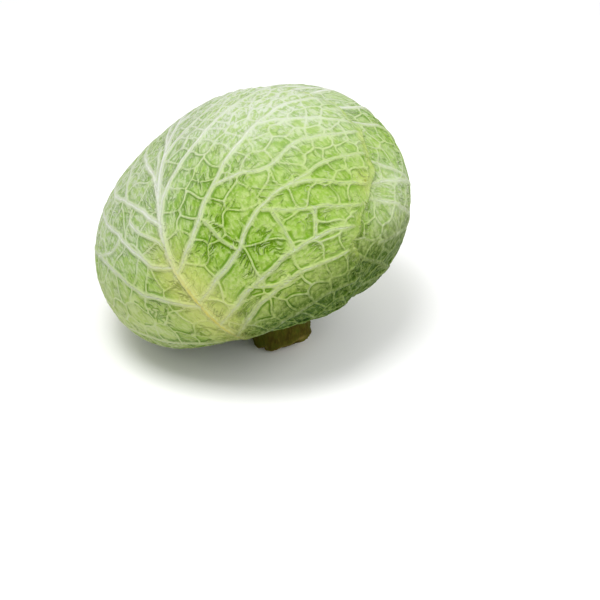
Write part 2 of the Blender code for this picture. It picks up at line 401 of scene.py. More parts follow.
# %% [markdown]
# ## Ribs to measure from
# The relief needs to know how far every point of a leaf is from its nearest vein, and how wide
# that vein is there. A bare wire of edges that lies on the leaf, with the width kept on its
# points, is enough: Geometry Nodes measure the distance to it.

# %% The rib wire
MIDRIB_WIDTHS = (0.0024, 0.0018, 0.0013, 0.0008, 0.0004)  # half widths from the base to the tip
SIDE_WIDTHS = (0.0009, 0.0006, 0.0004, 0.0003)
THINNEST_RIB = 0.00032
WOBBLE = 0.26  # how unsteady a vein runs, in degrees
SWAYS = ((0.34, 1.0, 1.0), (0.71, 2.3, 0.6))  # turn for each degree, start, height
STEADY_START = 8  # degrees over which a vein begins to sway


def new_mesh(name, points, edges, faces):
    mesh = bpy.data.meshes.new(name)
    mesh.from_pydata(points, edges, faces)
    return mesh


def keep(mesh, key, values):
    """Keeps one number, or one vector, for each point of a mesh."""
    values = np.asarray(values, float)
    kind, field = ("FLOAT_VECTOR", "vector") if values.ndim == 2 else ("FLOAT", "value")
    mesh.attributes.new(key, kind, "POINT").data.foreach_set(field, values.ravel())


def put_in_scene(name, data):
    thing = bpy.data.objects.new(name, data)
    bpy.context.scene.collection.objects.link(thing)
    return thing


def wire_mesh(name, key, runs):
    """One mesh of polylines; each run is its points and one value for each of them."""
    points, edges, values = [], [], []
    for run, value in runs:
        start = len(points)
        points += run.tolist()
        values += list(value)
        edges += [(start + i, start + i + 1) for i in range(len(run) - 1)]
    mesh = new_mesh(name, points, edges, [])
    keep(mesh, key, values)
    return put_in_scene(name, mesh)


def taper(widths, samples, scale=1.0):
    return scale * np.interp(np.linspace(0, 1, samples), np.linspace(0, 1, len(widths)), widths)


def unsteady(curve, seed):
    step = np.gradient(curve, axis=0)
    length = np.cumsum(np.linalg.norm(step, axis=1))[:, None]
    sway = sum(height * np.sin(turn * length + start * seed) for turn, start, height in SWAYS)
    grown = np.minimum(length / STEADY_START, 1)
    return curve + WOBBLE * sway * grown * unit(step[:, ::-1] * (1, -1))


def leaf_ribs(index):
    """Every main vein of a leaf as its curve on the leaf's plane and its half widths."""
    midrib, sides, forks = VEINS[index]
    ribs = [(midrib, taper(MIDRIB_WIDTHS, len(midrib)))]
    for side in sides:
        for vein in side:
            ribs.append((unsteady(vein, len(ribs)), taper(SIDE_WIDTHS, len(vein))))
    for fork, scale in forks:
        ribs.append((unsteady(fork, len(ribs)), taper(SIDE_WIDTHS, len(fork), scale)))
    return [(curve, np.maximum(widths, THINNEST_RIB)) for curve, widths in ribs]


def rib_wire(index, ribs):
    placed = [(leaf_surface(index, c[:, 0], c[:, 1]), width) for c, width in ribs]
    return wire_mesh("ribs_" + LEAVES[index][0], "half_width", placed)


print("outermost leaf:", len(leaf_ribs(0)), "ribs")

# %% [markdown]
# ## The net between the ribs
# Fine veins leave each rib at right angles and join into meshes about a centimetre wide. Each
# mesh is the patch that lies nearest to one seed, a Voronoi cell. Seeds are planted in pairs, one
# on either side of a rib and equally far from it, so that the border between them is the rib
# itself, and the borders between neighbours run out from it. Other seeds fill what is left.

# %% Plant the seeds
MESH_SIZE = 7.4  # degrees from one seed to the next, a little over a centimetre
SIDE_GAP = 0.46  # how far a rib's seeds stand from it, as a share of the mesh size
WIDE_RIB_GAP = 0.7  # and how much further at a wide rib, as a share of its half width
PAIR_SPACING = 0.62  # least distances, as shares of the mesh size
RIB_SPACING = 0.42
SEED_SPACING = 0.70
SEED_JITTER = 0.34
NET_REACH = 1.12  # how far the net is grown past the leaf's own reach
DEGREES_PER_METRE = 600
MM_PER_DEGREE = 1.66


def nearest_distance(places, others):
    return np.linalg.norm(np.array(places)[:, None] - np.array(others)[None], axis=2).min(1)


def rib_seeds(ribs, random):
    """Pairs of seeds along every rib; a pair that crowds others is left out."""
    points = np.vstack([curve for curve, _ in ribs])
    owner = np.repeat(np.arange(len(ribs)), [len(curve) for curve, _ in ribs])
    seeds = []
    for number, (curve, widths) in enumerate(ribs):
        across = unit(np.gradient(curve, axis=0)[:, ::-1] * (1, -1))
        length = np.cumsum(np.linalg.norm(np.gradient(curve, axis=0), axis=1))
        place = random.uniform(0.3, 0.7) * MESH_SIZE
        while place < length[-1]:
            i = int(np.searchsorted(length, place))
            gap = SIDE_GAP * MESH_SIZE * random.uniform(0.75, 1.2)
            gap = gap + WIDE_RIB_GAP * DEGREES_PER_METRE * widths[i]
            pair = [curve[i] + gap * across[i], curve[i] - gap * across[i]]
            place += MESH_SIZE * random.uniform(0.7, 1.15)
            free = nearest_distance(pair, points[owner != number]).min() > 0.7 * gap
            if free and (not seeds or nearest_distance(pair, seeds).min() > PAIR_SPACING * MESH_SIZE):
                seeds += pair
    return seeds, points


def net_seeds(index, ribs, random):
    """The ribs' pairs first, and then jittered rows of single seeds where there is room."""
    seeds, points = rib_seeds(ribs, random)
    pairs = len(seeds)
    reach = max(LEAVES[index][2:4]) * NET_REACH
    line = np.arange(-reach, reach, MESH_SIZE)
    x, y = np.meshgrid(line, line)
    x = x + (np.arange(len(line)) % 2)[:, None] * MESH_SIZE / 2
    places = np.stack([x.ravel(), y.ravel()], axis=1)
    places = places + random.uniform(-SEED_JITTER, SEED_JITTER, places.shape) * MESH_SIZE
    places = places[np.hypot(*places.T) < reach]
    places = places[nearest_distance(places, points) > RIB_SPACING * MESH_SIZE]
    for place in places:
        if nearest_distance([place], seeds).min() > SEED_SPACING * MESH_SIZE:
            seeds.append(place)
    return np.array(seeds), pairs


print("one mesh is about", round(MESH_SIZE * MM_PER_DEGREE), "mm across")

# %% The net wire
WALL_SAMPLES = 6
WALL_REACH = 1.1
WALL_BOW = 0.14  # how far a wall bows to one side, as a share of its length
WALL_BEND = 0.06  # and how far it bends one way and then the other
STRENGTH_POWER = 1.4  # above 1, more of the walls are weak


def around(values, corners, axis):
    """Every corner's value times the step between the other two corners, summed."""
    a, b, c = (corner[:, axis] for corner in corners)
    return values[0] * (b - c) + values[1] * (c - a) + values[2] * (a - b)


def circle_centres(corners):
    """The centres of the circles through triangles' three corners."""
    squares = [(corner**2).sum(1) for corner in corners]
    double = 2 * around([corner[:, 0] for corner in corners], corners, 1)
    sums = [around(squares, corners, 1), -around(squares, corners, 0)]
    return np.stack(sums, axis=1) / double[:, None]


def net_walls(seeds, pairs):
    """Voronoi borders as (start, end) corner numbers, with the corners' places."""
    triangles = delaunay_2d_cdt([Vector(seed) for seed in seeds], [], [], 0, 1e-6)[2]
    corners = circle_centres([seeds[[t[k] for t in triangles]] for k in range(3)])
    found, walls = {}, []
    for number, triangle in enumerate(triangles):
        for i in range(3):
            edge = tuple(sorted((triangle[i], triangle[i - 1])))
            twins = edge[0] % 2 == 0 and edge[1] == edge[0] + 1 and edge[1] < pairs
            if edge in found and not twins:
                walls.append((found[edge], number))
            found[edge] = number
    return walls, corners


def net_wire(index, ribs):
    random = np.random.default_rng(100 + index)
    seeds, pairs = net_seeds(index, ribs, random)
    walls, corners = net_walls(seeds, pairs)
    strength = random.uniform(0.0, 1.0, len(corners)) ** STRENGTH_POWER
    inside = np.hypot(*corners.T) < max(LEAVES[index][2:4]) * WALL_REACH
    t = np.linspace(0, 1, WALL_SAMPLES)[:, None]
    runs = []
    for start, end in walls:
        if not (inside[start] and inside[end]):
            continue
        way = corners[end] - corners[start]
        bow = random.uniform(-WALL_BOW, WALL_BOW) * np.sin(math.pi * t)
        bow = bow + random.uniform(-WALL_BEND, WALL_BEND) * np.sin(2 * math.pi * t)
        run = corners[start] + t * way + bow * way[::-1] * (1, -1)
        values = strength[start] * (1 - t[:, 0]) + strength[end] * t[:, 0]
        runs.append((leaf_surface(index, run[:, 0], run[:, 1]), values))
    print(LEAVES[index][0], "net:", len(seeds), "meshes,", len(runs), "walls")
    return wire_mesh("net_" + LEAVES[index][0], "strength", runs)


print("each wall has", WALL_SAMPLES, "points")

# %% [markdown]
# ## A chart that follows the veins
# Between two side veins the blade is creased, and the creases follow the veins. To draw them so,
# each place on the leaf gets two numbers: which vein it lies next to, counted from the base, and
# how far along that vein it is. A chart holds them: a flat grid whose lines are the veins, from
# which Geometry Nodes read the two numbers at any place.

# %% The vein chart
CHART_STEPS = 6  # grid lines from one vein to the next
LEFT_OFFSET = 40.5  # keeps the left half's creases different from the right half's
CHART_OVERRUN = 18.0  # how far the chart runs on past the ends of the veins, in degrees


def run_on(curve):
    """The curve with a straight stretch added at its end."""
    way = unit(curve[-1] - curve[-8])
    return np.vstack([curve, curve[-1] + way * np.linspace(3, CHART_OVERRUN, 6)[:, None]])


def vein_chart(index):
    """A flat grid on the leaf's plane whose lines are the side veins of both halves."""
    points, faces, values = [], [], []
    _, sides, _ = VEINS[index]
    for sign, veins in zip((1, -1), sides):
        veins = [run_on(vein) for vein in veins]
        first, last = 2 * veins[0] - veins[1], 2 * veins[-1] - veins[-2]
        veins = np.array([first, *veins, last])
        count = (len(veins) - 1) * CHART_STEPS + 1
        spot = np.linspace(0, len(veins) - 1, count)
        low = np.minimum(spot.astype(int), len(veins) - 2)
        share = (spot - low)[:, None, None]
        grid = veins[low] * (1 - share) + veins[low + 1] * share
        steps = np.linalg.norm(np.diff(grid, axis=1), axis=2) * MM_PER_DEGREE
        along = np.concatenate([np.zeros((count, 1)), np.cumsum(steps, axis=1)], axis=1)
        start = len(points)
        wide = grid.shape[1]
        points += [(x, y, 0.0) for x, y in grid.reshape(-1, 2)]
        number = np.repeat(spot[:, None], wide, axis=1) + (LEFT_OFFSET if sign < 0 else 0)
        values += np.stack([number, along, np.zeros_like(along)], axis=2).reshape(-1, 3).tolist()
        for i in range(count - 1):
            for j in range(wide - 1):
                a = start + i * wide + j
                faces.append((a, a + 1, a + wide + 1, a + wide))
    mesh = new_mesh("chart", points, [], faces)
    keep(mesh, "vein_place", values)
    return put_in_scene("chart_" + LEAVES[index][0], mesh)


print("the chart has", CHART_STEPS, "lines from one vein to the next")

# %% [markdown]
# ## The smooth leaf
# A leaf starts as a square grid drawn out to a disc and laid over its outline, so that it has no
# pole and no seam. An inner skin with a quarter as many cells across closes it. The margin is
# thin, frilled and bends in towards the leaf beneath. Each point keeps what the relief needs: its
# place on the leaf's plane, the way out of the head, and how deep the relief may go there.

# %% A leaf's closed shell
THICKNESS = 0.0005
RELIEF_ROOM = 0.0024  # how far the deepest pits may sink below the smooth surface
MARGIN_THICKNESS = 0.0006
MARGIN_WIDTH = 0.011  # the strip in which the leaf thins towards its edge
MARGIN_SINK = 0.0022  # how far the margin bends in towards the leaf beneath
BASE_LIFT = 0.0005
FRILL_HEIGHT = 0.0005
FRILL_WAVES = 31
LOBES = ((11, 1, 1.0), (23, -1, 0.8), (43, 0, 0.6))  # how many, how many times the phase, how high
LOBE_DEPTH = 0.009
LOBE_POWER = 8  # keeps the lobes to the margin
EDGE_CALM = 0.7  # how much flatter the leaf is at its margin
PRESSED_HEIGHT = 0.004  # below this the leaf is pressed flat by what it rests on
HIDDEN_RELIEF = 0.45  # under another leaf there is less room
CELLS = {"outer": 300, "wrapper": 120, "inner": 60}  # across a leaf; hidden leaves need fewer
INNER_SHARE = 4  # outer cells for each cell of the inner skin
CENTRE_DENSITY = 1.12  # above 1, cells are smaller near the middle of the leaf
# The bloom is partly the leaf's real waxy bloom and partly a painted sheen, palest on the crown and
# raised flanks.
BLOOM_AND_SHEEN_POLES = (  # towards what, from which cosine, to which cosine, how much
    ((-0.85, -0.25, 0.47), 0.55, 1.00, 0.58),
    ((-0.10, 0.25, 0.96), 0.30, 0.95, 0.75),
    ((0.92, -0.30, 0.25), 0.88, 1.00, 0.42),
    ((-0.72, -0.55, -0.42), 0.78, 1.00, 0.32),
)
BLOOM_SHEEN_CALM = 0.85  # how much flatter the leaf is where the bloom and its painted sheen are thickest
SHADED_SIDE = (0.57, -0.38, -0.73)  # the low side, darkened to a deeper olive green by painted shade


def bloom_at(directions):
    """How waxy and pale the head is, as real bloom and painted sheen: most on its crown and its
    raised flank.
    """
    bloom = np.zeros(directions.shape[:-1])
    for toward, start, end, amount in BLOOM_AND_SHEEN_POLES:
        share = smoothstep(directions @ unit(toward), start, end)
        bloom = np.maximum(bloom, amount * share)
    return bloom


def disc_grid(cells):
    line = np.linspace(-1, 1, cells + 1)
    u, v = np.meshgrid(line, line, indexing="ij")
    return (u * np.sqrt(1 - v * v / 2)).ravel(), (v * np.sqrt(1 - u * u / 2)).ravel()


def grid_faces(cells):
    """Two triangles a cell, split so that no corner cell is a sliver."""
    i, j = np.meshgrid(np.arange(cells), np.arange(cells), indexing="ij")
    a = (i * (cells + 1) + j).ravel()
    b, c, d = a + cells + 1, a + cells + 2, a + 1
    one = np.stack([a, b, c, a, c, d], axis=1)
    other = np.stack([a, b, d, b, c, d], axis=1)
    same = ((i < cells / 2) == (j < cells / 2)).ravel()[:, None]
    return np.where(same, one, other).reshape(-1, 3)


def rim_loop(cells):
    """The grid's edge points in order, anticlockwise seen from outside the head."""
    side = cells + 1
    bottom = [i * side for i in range(cells)]
    right = [cells * side + j for j in range(cells)]
    top = [i * side + cells for i in range(cells, 0, -1)]
    return bottom + right + top + list(range(cells, 0, -1))


def rim_faces(cells, start):
    """Joins the outer rim to the inner rim, whose points are further apart and start at start."""
    outer, inner = rim_loop(cells), [start + k for k in rim_loop(cells // INNER_SHARE)]
    faces = []
    for k, p in enumerate(inner):
        q = inner[(k + 1) % len(inner)]
        run = [outer[(k * INNER_SHARE + i) % len(outer)] for i in range(INNER_SHARE + 1)]
        half = INNER_SHARE // 2
        faces += [(run[i], p, run[i + 1]) for i in range(half)]
        faces.append((run[half], p, q))
        faces += [(run[i], q, run[i + 1]) for i in range(half, INNER_SHARE)]
    return np.array(faces)


def leaf_skin(index, cells, inner):
    """Points, and what the relief needs there, of one side of a leaf."""
    u, v = disc_grid(cells)
    share, turn = np.hypot(u, v) ** CENTRE_DENSITY, np.arctan2(u, v)
    phase = LEAVES[index][4]
    reach = np.degrees(outline(index, turn))
    lobes = sum(height * np.sin(count * turn + start * phase) for count, start, height in LOBES)
    reach = reach * (1 + LOBE_DEPTH * lobes * share**LOBE_POWER)
    x, y = share * reach * np.sin(turn), share * reach * np.cos(turn)
    directions = plane_directions(index, x, y)
    radius = head_radius(directions) - layer_depth(index, directions)
    from_edge = (1 - share) * reach * MM_PER_DEGREE / 1000
    near_edge = 1 - smoothstep(from_edge, 0, MARGIN_WIDTH)
    at_base = smoothstep(-np.cos(turn), 0.90, 0.99)
    frill = np.sin(FRILL_WAVES * turn + 2 * np.sin(5 * turn + phase)) * (1 - at_base)
    lift = BASE_LIFT * at_base - MARGIN_SINK * (1 - at_base)
    radius = radius + near_edge * (lift + FRILL_HEIGHT * frill * near_edge)
    hidden = np.zeros(len(radius))
    for outer in range(index):
        hidden = np.maximum(hidden, smoothstep(-past_edge(outer, directions), 0, COVER_MARGIN))
    bloom = bloom_at(directions)
    room = (1 - EDGE_CALM * near_edge) * (1 - (1 - HIDDEN_RELIEF) * hidden)
    room = room * (1 - BLOOM_SHEEN_CALM * bloom)
    if inner:
        full = THICKNESS + RELIEF_ROOM * room
        radius = radius - (MARGIN_THICKNESS + (full - MARGIN_THICKNESS) * (1 - near_edge))
        room = room * 0
    points = HEAD_CENTRE + directions * radius[:, None]
    points[:, 2] = np.maximum(points[:, 2], 0)
    room = room * smoothstep(points[:, 2], 0, PRESSED_HEIGHT)
    return points, {
        "plane": np.stack([x, y, np.zeros_like(x)], axis=1),
        "outward": directions,
        "room": room,
        "edge": near_edge,
        "bloom": bloom,
        "to_stem": directions @ STEM_DOWN,
        "to_dark": directions @ unit(SHADED_SIDE),
    }


def leaf_shell(index):
    """A leaf's smooth closed shell as an object, with its relief attributes."""
    cells = CELLS[LEAVES[index][0].split("_")[0]]
    outer, kept = leaf_skin(index, cells, False)
    inner, kept_inner = leaf_skin(index, cells // INNER_SHARE, True)
    inward = grid_faces(cells // INNER_SHARE)[:, ::-1] + len(outer)
    faces = np.vstack([grid_faces(cells), inward, rim_faces(cells, len(outer))])
    mesh = new_mesh(LEAVES[index][0], np.vstack([outer, inner]).tolist(), [], faces.tolist())
    for key, values in kept.items():
        keep(mesh, key, np.concatenate([values, kept_inner[key]]))
    return put_in_scene("shell", mesh)


print("cells across a leaf:", CELLS)

# %% [markdown]
# ## Writing nodes as Python
# Geometry Nodes and materials use the same Math, Map Range and Noise nodes. A small class wraps a
# socket, so that an expression such as 1 - mask adds its Math node by itself, and one method
# makes every other node. The same function can then draw the folds and wrinkles into the shape
# and into the colour, and the two always line up.

# %% Sockets in expressions
class Value:
    """A socket that Python's operators work on."""

    def __init__(self, graph, socket):
        self.graph, self.socket = graph, socket
        self.is_vector = socket.type in ("VECTOR", "RGBA")

    def calculate(self, operation, *values):
        wide = any(isinstance(v, tuple) or getattr(v, "is_vector", False) for v in values)
        if wide:
            values = [(v,) * 3 if isinstance(v, (int, float)) else v for v in values]
        kind = "ShaderNodeVectorMath" if wide else "ShaderNodeMath"
        return self.graph.node(kind, {"operation": operation}, dict(enumerate(values))).out(0)

    def __add__(self, other):
        return self.calculate("ADD", self, other)

    def __sub__(self, other):
        return self.calculate("SUBTRACT", self, other)

    def __rsub__(self, other):
        return self.calculate("SUBTRACT", other, self)

    def __mul__(self, other):
        return self.calculate("MULTIPLY", self, other)

    def __truediv__(self, other):
        return self.calculate("DIVIDE", self, other)

    def largest(self, other):
        return self.calculate("MAXIMUM", self, other)

    def smallest(self, other):
        return self.calculate("MINIMUM", self, other)

    def part(self, axis):
        """One of a vector's three numbers."""
        return self.graph.node("ShaderNodeSeparateXYZ", {}, {"Vector": self}).out(axis)

    __radd__ = __add__
    __rmul__ = __mul__


def find_socket(sockets, key):
    if isinstance(key, int):
        return sockets[key]
    exact = [s for s in sockets if s.identifier == key]
    named = [s for s in sockets if s.name == key and s.enabled]
    return (exact or named)[0]


class Node:
    def __init__(self, graph, node):
        self.graph, self.node = graph, node

    def out(self, key):
        return Value(self.graph, find_socket(self.node.outputs, key))


class Graph:
    """A node tree that is written as Python."""

    def __init__(self, tree):
        self.tree = tree

    def node(self, kind, settings=None, sockets=None):
        """Makes a node: its settings first, then the values or links of its sockets."""
        made = self.tree.nodes.new(kind)
        for key, value in (settings or {}).items():
            setattr(made, key, value)
        self.fill(made, sockets or {})
        return Node(self, made)

    def fill(self, node, sockets):
        """Gives a node's sockets their values, or the links to them."""
        for key, value in sockets.items():
            socket = find_socket(node.inputs, key)
            if isinstance(value, Value):
                self.tree.links.new(value.socket, socket)
            else:
                socket.default_value = value

    def ramp(self, value, start, end, low=0.0, high=1.0):
        """low at start, high at end and beyond, with soft ends; end may lie below start."""
        return self.node(
            "ShaderNodeMapRange",
            {"interpolation_type": "SMOOTHSTEP"},
            {"Value": value, "From Min": start, "From Max": end, "To Min": low, "To Max": high},
        ).out("Result")

    def band(self, value, start, full, still_full, end):
        """1 between full and still_full, fading to 0 at start and at end."""
        return self.ramp(value, start, full) * self.ramp(value, end, still_full)

    def noise(self, place, size, detail=2.0, output="Factor", dimensions="3D"):
        """Noise whose patches are about size across; place and size are in the same unit."""
        made = self.node(
            "ShaderNodeTexNoise",
            {"noise_dimensions": dimensions},
            {"Vector": place, "Scale": 1 / size, "Detail": detail},
        )
        return made.out(0 if output == "Factor" else 1)


print("a Value can also be:", ", ".join(name for name in vars(Value) if name[0] != "_"))

# %% [markdown]
# ## Folds and wrinkles
# Between the walls of the net the blade is puckered, because it grew faster than its veins. The
# folds are long narrow loops that lie along the side veins, like the contour lines of a map. So
# they are the places where a noise that is stretched along the vein chart passes its middle
# value. One function makes them for the shape and again for the colour.

# %% The blade's own texture
FOLDS_ACROSS = 6.5  # fold widths from one side vein to the next
FOLD_LENGTH = 9.0  # millimetres along a side vein
FOLD_DISTANCE = 7.0  # turns the noise's value into about millimetres from a fold
WRINKLE = 2.6  # millimetres across
SWAY = 12.0  # millimetres across the patches in which the folds sway together
PATCH = 17.0
PATCH_PLACE = (5.0, 0.0, 9.0)  # keeps the patches from following the sway


def blade_texture(graph, vein_place, rest):
    """Millimetres from a fold, wrinkles and broad patches; resting places are in millimetres."""
    sway = graph.noise(rest, SWAY, 1.0, "Color") - 0.5
    on_chart = vein_place * (FOLDS_ACROSS, 1 / FOLD_LENGTH, 0.0) + sway * (2.6, 1.6, 0.0)
    level = graph.noise(on_chart, 1.0, 1.0, dimensions="2D") - 0.5
    fold = level.calculate("ABSOLUTE", level) * FOLD_DISTANCE
    wrinkles = graph.noise(rest + sway * 6.0, WRINKLE, 1.0)
    patches = graph.ramp(graph.noise(rest + PATCH_PLACE, PATCH), 0.36, 0.64)
    return fold, wrinkles, patches


print("folds are", FOLD_LENGTH, "mm long and wrinkles", WRINKLE, "mm across")

# %% [markdown]
# ## The relief
# One Geometry Nodes tree turns a smooth shell into a savoy leaf. It measures how far each point
# is from the ribs and from the net, lets the blade sink between them, pushes each point in or out
# along its own direction from the head's centre, and keeps the distances for the material.

# %% The leaf relief tree
RELIEF_INPUTS = {
    "Leaf": "Geometry",
    "Ribs": "Object",
    "Net": "Object",
    "Chart": "Object",
    "Finish": "Material",
}
RELIEF_SIZES = {"Rib Height": 0.50, "Pit Depth": 1.2, "Fold Depth": 0.7, "Wrinkle Height": 0.4}
MOST_RIB_GAP = 9.0  # beyond this many millimetres, no mask needs the distance


def named(graph, name, kind="FLOAT"):
    made = graph.node("GeometryNodeInputNamedAttribute", {"data_type": kind}, {"Name": name})
    return made.out("Attribute")


def measure(graph, wire, here, key):
    """Distance to a wire in millimetres, and the wire's own value at the nearest point."""
    shape = graph.node("GeometryNodeObjectInfo", {}, {"Object": wire}).out("Geometry")
    places = {0: shape, "Sample Position": here}
    away = graph.node("GeometryNodeProximity", {"target_element": "EDGES"}, places).out("Distance")
    nearest = graph.node("GeometryNodeSampleNearest", {"domain": "POINT"}, places).out("Index")
    value = graph.node(
        "GeometryNodeSampleIndex",
        {"data_type": "FLOAT", "domain": "POINT"},
        {"Geometry": shape, "Value": named(graph, key), "Index": nearest},
    ).out("Value")
    return away * 1000.0, value


def relief_tree():
    """The tree that turns a smooth shell into a leaf; its inner distances are in millimetres."""
    tree = bpy.data.node_groups.new("savoy leaf relief", "GeometryNodeTree")
    add_socket = tree.interface.new_socket
    for name, kind in RELIEF_INPUTS.items():
        add_socket(name, in_out="INPUT", socket_type="NodeSocket" + kind)
    for name, size in RELIEF_SIZES.items():
        add_socket(name, in_out="INPUT", socket_type="NodeSocketFloat").default_value = size
    add_socket("Leaf", in_out="OUTPUT", socket_type="NodeSocketGeometry")
    graph = Graph(tree)
    given = graph.node("NodeGroupInput")
    here = graph.node("GeometryNodeInputPosition").out(0)
    rest = here * 1000.0
    rib_away, half_width = measure(graph, given.out("Ribs"), here, "half_width")
    net_away, strength = measure(graph, given.out("Net"), here, "strength")
    half_width = half_width * 1000.0
    chart = graph.node("GeometryNodeObjectInfo", {}, {"Object": given.out("Chart")}).out("Geometry")
    vein_place = graph.node(
        "GeometryNodeSampleNearestSurface",
        {"data_type": "FLOAT_VECTOR"},
        {
            "Mesh": chart,
            "Value": named(graph, "vein_place", "FLOAT_VECTOR"),
            "Sample Position": named(graph, "plane", "FLOAT_VECTOR"),
        },
    ).out("Value")

    beyond_rib = rib_away - half_width
    rib = graph.ramp(beyond_rib, 0.7, half_width * -0.6)
    gap = net_away.smallest(beyond_rib.largest(0.0) * 0.6 + 0.1)
    fold, wrinkles, patches = blade_texture(graph, vein_place, rest)
    pit = graph.ramp(gap + (1 - strength) * 1.1, 0.3, 2.6) * (0.6 + 0.4 * patches)
    pucker = graph.ramp(fold, 1.5, 0.1) * (0.15 + 0.85 * patches)
    folds = pucker * given.out("Fold Depth") - (wrinkles - 0.5) * given.out("Wrinkle Height")
    blade = (pit * given.out("Pit Depth") + graph.ramp(gap, 0.3, 1.6) * folds) * -1.0
    height = rib * half_width * given.out("Rib Height") + blade * (1 - rib)
    height = height * named(graph, "room") / 1000.0
    moved = graph.node(
        "GeometryNodeSetPosition",
        {},
        {"Geometry": given.out("Leaf"), "Offset": named(graph, "outward", "FLOAT_VECTOR") * height},
    ).out("Geometry")
    for name, kind, value in (
        ("rib_gap", "FLOAT", beyond_rib.smallest(MOST_RIB_GAP)),
        ("rib_width", "FLOAT", half_width),
        ("gap", "FLOAT", gap),
        ("strength", "FLOAT", strength),
        ("rest", "FLOAT_VECTOR", rest),
        ("vein_place", "FLOAT_VECTOR", vein_place),
    ):
        moved = graph.node(
            "GeometryNodeStoreNamedAttribute",
            {"data_type": kind, "domain": "POINT"},
            {"Geometry": moved, "Name": name, "Value": value},
        ).out("Geometry")
    real = graph.node("GeometryNodeRealizeInstances", {}, {"Geometry": moved}).out("Geometry")
    painted = {"Geometry": real, "Material": given.out("Finish")}
    done = graph.node("GeometryNodeSetMaterial", {}, painted).out("Geometry")
    graph.node("NodeGroupOutput", {}, {"Leaf": done})
    return tree


RELIEF = relief_tree()
print("relief tree:", len(RELIEF.nodes), "nodes")


# %% Bake a leaf to a plain mesh
def bake(source, tree, inputs, name):
    """Runs a node tree on an object and returns the result as a plain mesh object."""
    modifier = source.modifiers.new("nodes", "NODES")
    modifier.node_group = tree
    for item in tree.interface.items_tree:
        if item.in_out == "INPUT" and item.name in inputs:
            modifier[item.identifier] = inputs[item.name]
    evaluated = source.evaluated_get(bpy.context.evaluated_depsgraph_get())
    mesh = bpy.data.meshes.new_from_object(evaluated)
    mesh.name = name
    mesh.shade_smooth()
    bpy.data.objects.remove(source)
    return put_in_scene(name, mesh)


def build_leaf(index, finish):
    ribs = leaf_ribs(index)
    inputs = {
        "Ribs": rib_wire(index, ribs),
        "Net": net_wire(index, ribs),
        "Chart": vein_chart(index),
        "Finish": finish,
    }
    leaf = bake(leaf_shell(index), RELIEF, inputs, LEAVES[index][0] + "_blade")
    for name in ("plane", "outward", "room"):
        leaf.data.attributes.remove(leaf.data.attributes[name])
    for key in ("Ribs", "Net", "Chart"):
        bpy.data.objects.remove(inputs[key])
    print(leaf.name, len(leaf.data.polygons), "triangles")
    return leaf


# %% [markdown]
# ## The leaf's finish
# A savoy leaf is pale along its veins, where there is no green tissue. The creases beside them are
# darkened with painted shade. Its stalk is yellow, with painted shade in a darker groove on either
# side, in a smooth pale surround, and its veins fade towards the margins. A thin waxy bloom whitens
# the crown and the raised flank, with a painted sheen on top of it, and painted shade turns the low
# side a deeper olive. All this is painted by rule from the distances that the relief left on the
# mesh, so it lines up with the shape, and crinkles too fine for the mesh are drawn along the veins
# by noise, with painted shade in their hollows.

# %% Colours and how they are laid
# The bloom colours lay the real waxy bloom and a painted sheen together.
BLOOM_AND_SHEEN_COLOUR = (0.475, 0.505, 0.44)
WAXY_RIB_SHEEN = (0.60, 0.62, 0.55)
MARGIN_COLOUR = (0.40, 0.46, 0.13)
BASE_YELLOW = (0.46, 0.48, 0.14)
OLIVE_SHADE_TINT = (0.12, 0.20, 0.00)  # what the low side's colour is multiplied by: painted shade in a dark olive
STREAKS = (8.0, 0.12, 0.0)  # streaks from one side vein to the next, and to a millimetre along it
CRINKLES = (9.0, 0.40, 0.0)  # the same for the small crinkles
SCAR = (66.2, -53.0, 127.2)  # where the outermost leaf's margin has a small dry spot, in millimetres
SCAR_BROWN = (0.17, 0.15, 0.015)
STALK_YELLOW = (0.47, 0.42, 0.05)
# The groove colour is painted shade beside the stalk.
STALK_GROOVE_SHADE = (0.27, 0.27, 0.03)
PLAIN = (1.0, 1.0, 1.0)


def mix(graph, share, first, second):
    first = first if isinstance(first, Value) else (*first, 1.0)
    second = second if isinstance(second, Value) else (*second, 1.0)
    return graph.node(
        "ShaderNodeMix",
        {"data_type": "RGBA"},
        {"Factor_Float": share, "A_Color": first, "B_Color": second},
    ).out("Result_Color")


def layered(graph, colour, layers):
    """Lays colours over one another; each layer is how much of it, and its colour."""
    for share, tint in layers:
        colour = mix(graph, share, colour, tint)
    return colour


def attribute(graph, name, output="Fac"):
    return graph.node("ShaderNodeAttribute", {"attribute_name": name}).out(output)


def bumped(graph, height, strength, distance):
    sockets = {"Strength": strength, "Distance": distance, "Height": height}
    return graph.node("ShaderNodeBump", {}, sockets).out("Normal")


def new_material(name):
    material = bpy.data.materials.new(name)
    material.use_nodes = True
    graph = Graph(material.node_tree)
    shader = material.node_tree.nodes["Principled BSDF"]
    return material, graph, shader


print("the dry spot is", round(float(SCAR[2])), "mm above the floor")


# %% What a leaf's material reads
def read_leaf(graph):
    """What the mesh keeps, and the noises, as sockets by name; distances are in millimetres."""
    keys = ("rib_gap", "rib_width", "gap", "strength", "bloom", "edge", "to_stem", "to_dark")
    m = SimpleNamespace(**{key: attribute(graph, key) for key in keys})
    m.rest = attribute(graph, "rest", "Vector")
    chart = attribute(graph, "vein_place", "Vector")
    m.fold, m.wrinkles, m.patches = blade_texture(graph, chart, m.rest)
    shift = m.wrinkles - 0.5
    m.grown = graph.noise(chart * STREAKS + shift * (1.0, 0.5, 0.0), 1.0, dimensions="2D")
    m.crinkle = graph.noise(chart * CRINKLES + shift * (1.4, 1.0, 0.0), 1.0, dimensions="2D")
    m.streaks = graph.noise(m.rest + (31.0, 7.0, 3.0), 9.0, 1.0)
    m.others = graph.noise(m.rest + (3.0, 17.0, 23.0), 9.0, 1.0)
    m.mottle = graph.noise(m.rest, 1.0)
    m.broad = graph.noise(m.rest + (50.0, 8.0, 2.0), 24.0)
    m.along = chart.part("Y")
    return m


